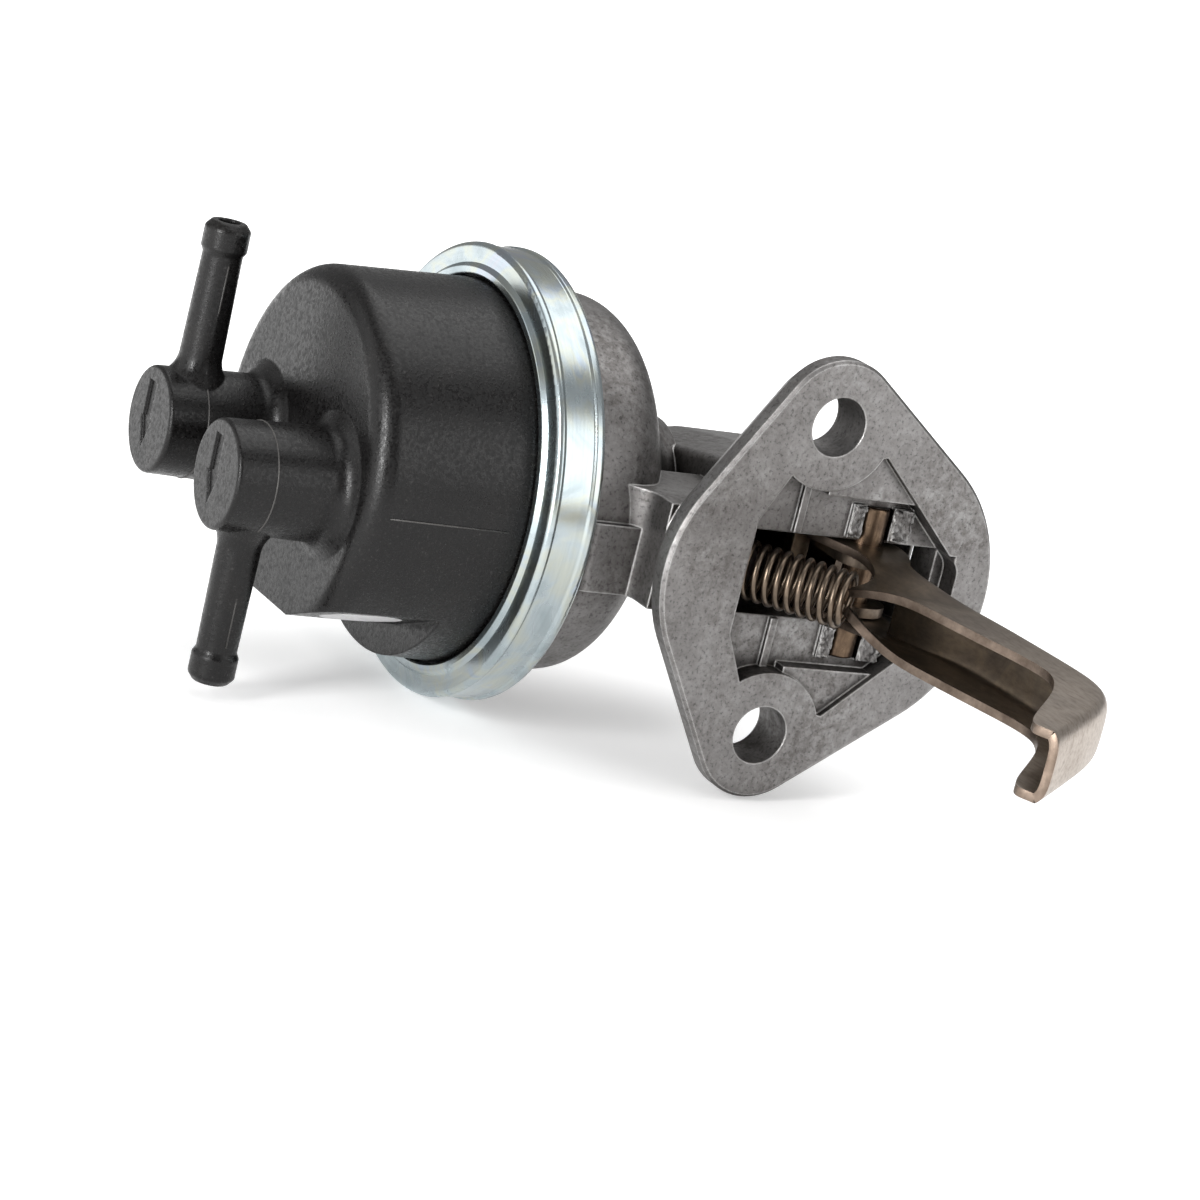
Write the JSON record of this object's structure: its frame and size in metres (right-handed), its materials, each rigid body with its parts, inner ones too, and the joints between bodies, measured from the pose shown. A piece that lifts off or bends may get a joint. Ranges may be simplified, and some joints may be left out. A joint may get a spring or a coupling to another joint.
{
  "type": "mechanical fuel pump",
  "caption": "Diaphragm fuel pump with a cast body, bolt-on flange, sprung rocker lever, moulded cover and hose spigots; an engine cam rocks the lever, which pulls the diaphragm.",
  "frame": {"origin": "middle of the bolt line on the flange's mounting face", "axes": "+X out of the mounting face, the way the lever sticks out; +Z along the bolt line and the pivot pin; -Y along the pump's own axis towards the cover"},
  "size_m": [0.1554, 0.1156, 0.0694],
  "materials": {
    "cast_aluminium": "as-cast, mottled, blasted grey",
    "cover_plastic": "fine-grained black moulding",
    "zinc_plated_steel": "bright zinc plating",
    "label_foil": "plain silvery foil, bare",
    "seal_rubber": "black nitrile rubber",
    "plate_plastic": "dark grey moulding",
    "strainer_nylon": "natural nylon",
    "diaphragm_rubber": "cloth-backed rubber",
    "plate_steel": "pressed steel, plated",
    "rod_steel": "turned steel",
    "spring_steel": "oiled spring steel",
    "lever_steel": "phosphated and oiled, brownish grey",
    "pin_steel": "oiled, dark bronze",
    "valve_rubber": "black rubber",
    "cage_brass": "pressed brass"
  },
  "bodies": {
    "pump": {"pump_body": "cast_aluminium", "top_cover": "cover_plastic", "clamp_ring": "zinc_plated_steel", "cover_label": "label_foil", "cover_seal": "seal_rubber", "valve_plate": "plate_plastic", "inlet_strainer": "strainer_nylon", "inlet_valve_cage": "cage_brass", "outlet_valve_cage": "cage_brass", "inlet_valve_spring": "spring_steel", "outlet_valve_spring": "spring_steel", "diaphragm": "diaphragm_rubber", "diaphragm_spring": "spring_steel", "rod_seal": "seal_rubber", "seal_retainer": "plate_steel", "pivot_pin": "pin_steel", "lever_return_spring": "spring_steel"},
    "rocker": {"rocker_lever": "lever_steel"},
    "link": {"link_lever": "lever_steel"},
    "diaphragm_group": {"pull_rod": "rod_steel", "diaphragm_front_plate": "plate_steel", "diaphragm_rear_plate": "plate_steel"},
    "inlet_valve": {"inlet_valve_disc": "valve_rubber"},
    "outlet_valve": {"outlet_valve_disc": "valve_rubber"}
  },
  "joints": [
    {"name": "rocker_pivot", "type": "hinge", "parent": "pump", "child": "rocker", "pos_m": [-0.005, 0.013, 0], "axis": [0, 0, -1], "range_deg": [0, 9], "stiffness_Nm_per_rad": 0.4, "springref_deg": -8.59, "deforming": ["lever_return_spring"]},
    {"name": "link_pivot", "type": "hinge", "parent": "pump", "child": "link", "pos_m": [-0.005, 0.013, 0], "axis": [0, 0, -1], "range_deg": [0, 9]},
    {"name": "diaphragm_stroke", "type": "slide", "parent": "pump", "child": "diaphragm_group", "axis": [0, 1, 0], "range_m": [0, 0.0061], "deforming": ["diaphragm", "diaphragm_spring"]},
    {"name": "inlet_valve_lift", "type": "slide", "parent": "pump", "child": "inlet_valve", "axis": [0, 1, 0], "range_m": [0, 0.001], "stiffness_N_per_m": 30, "springref_m": -0.0005, "deforming": ["inlet_valve_spring"]},
    {"name": "outlet_valve_lift", "type": "slide", "parent": "pump", "child": "outlet_valve", "axis": [0, -1, 0], "range_m": [0, 0.001], "stiffness_N_per_m": 30, "springref_m": -0.0005, "deforming": ["outlet_valve_spring"]}
  ],
  "couplings": [
    {"joint": "link_pivot", "follows": "rocker_pivot", "ratio": 1},
    {"joint": "diaphragm_stroke", "follows": "rocker_pivot", "m_per_rad": 0.0385}
  ]
}
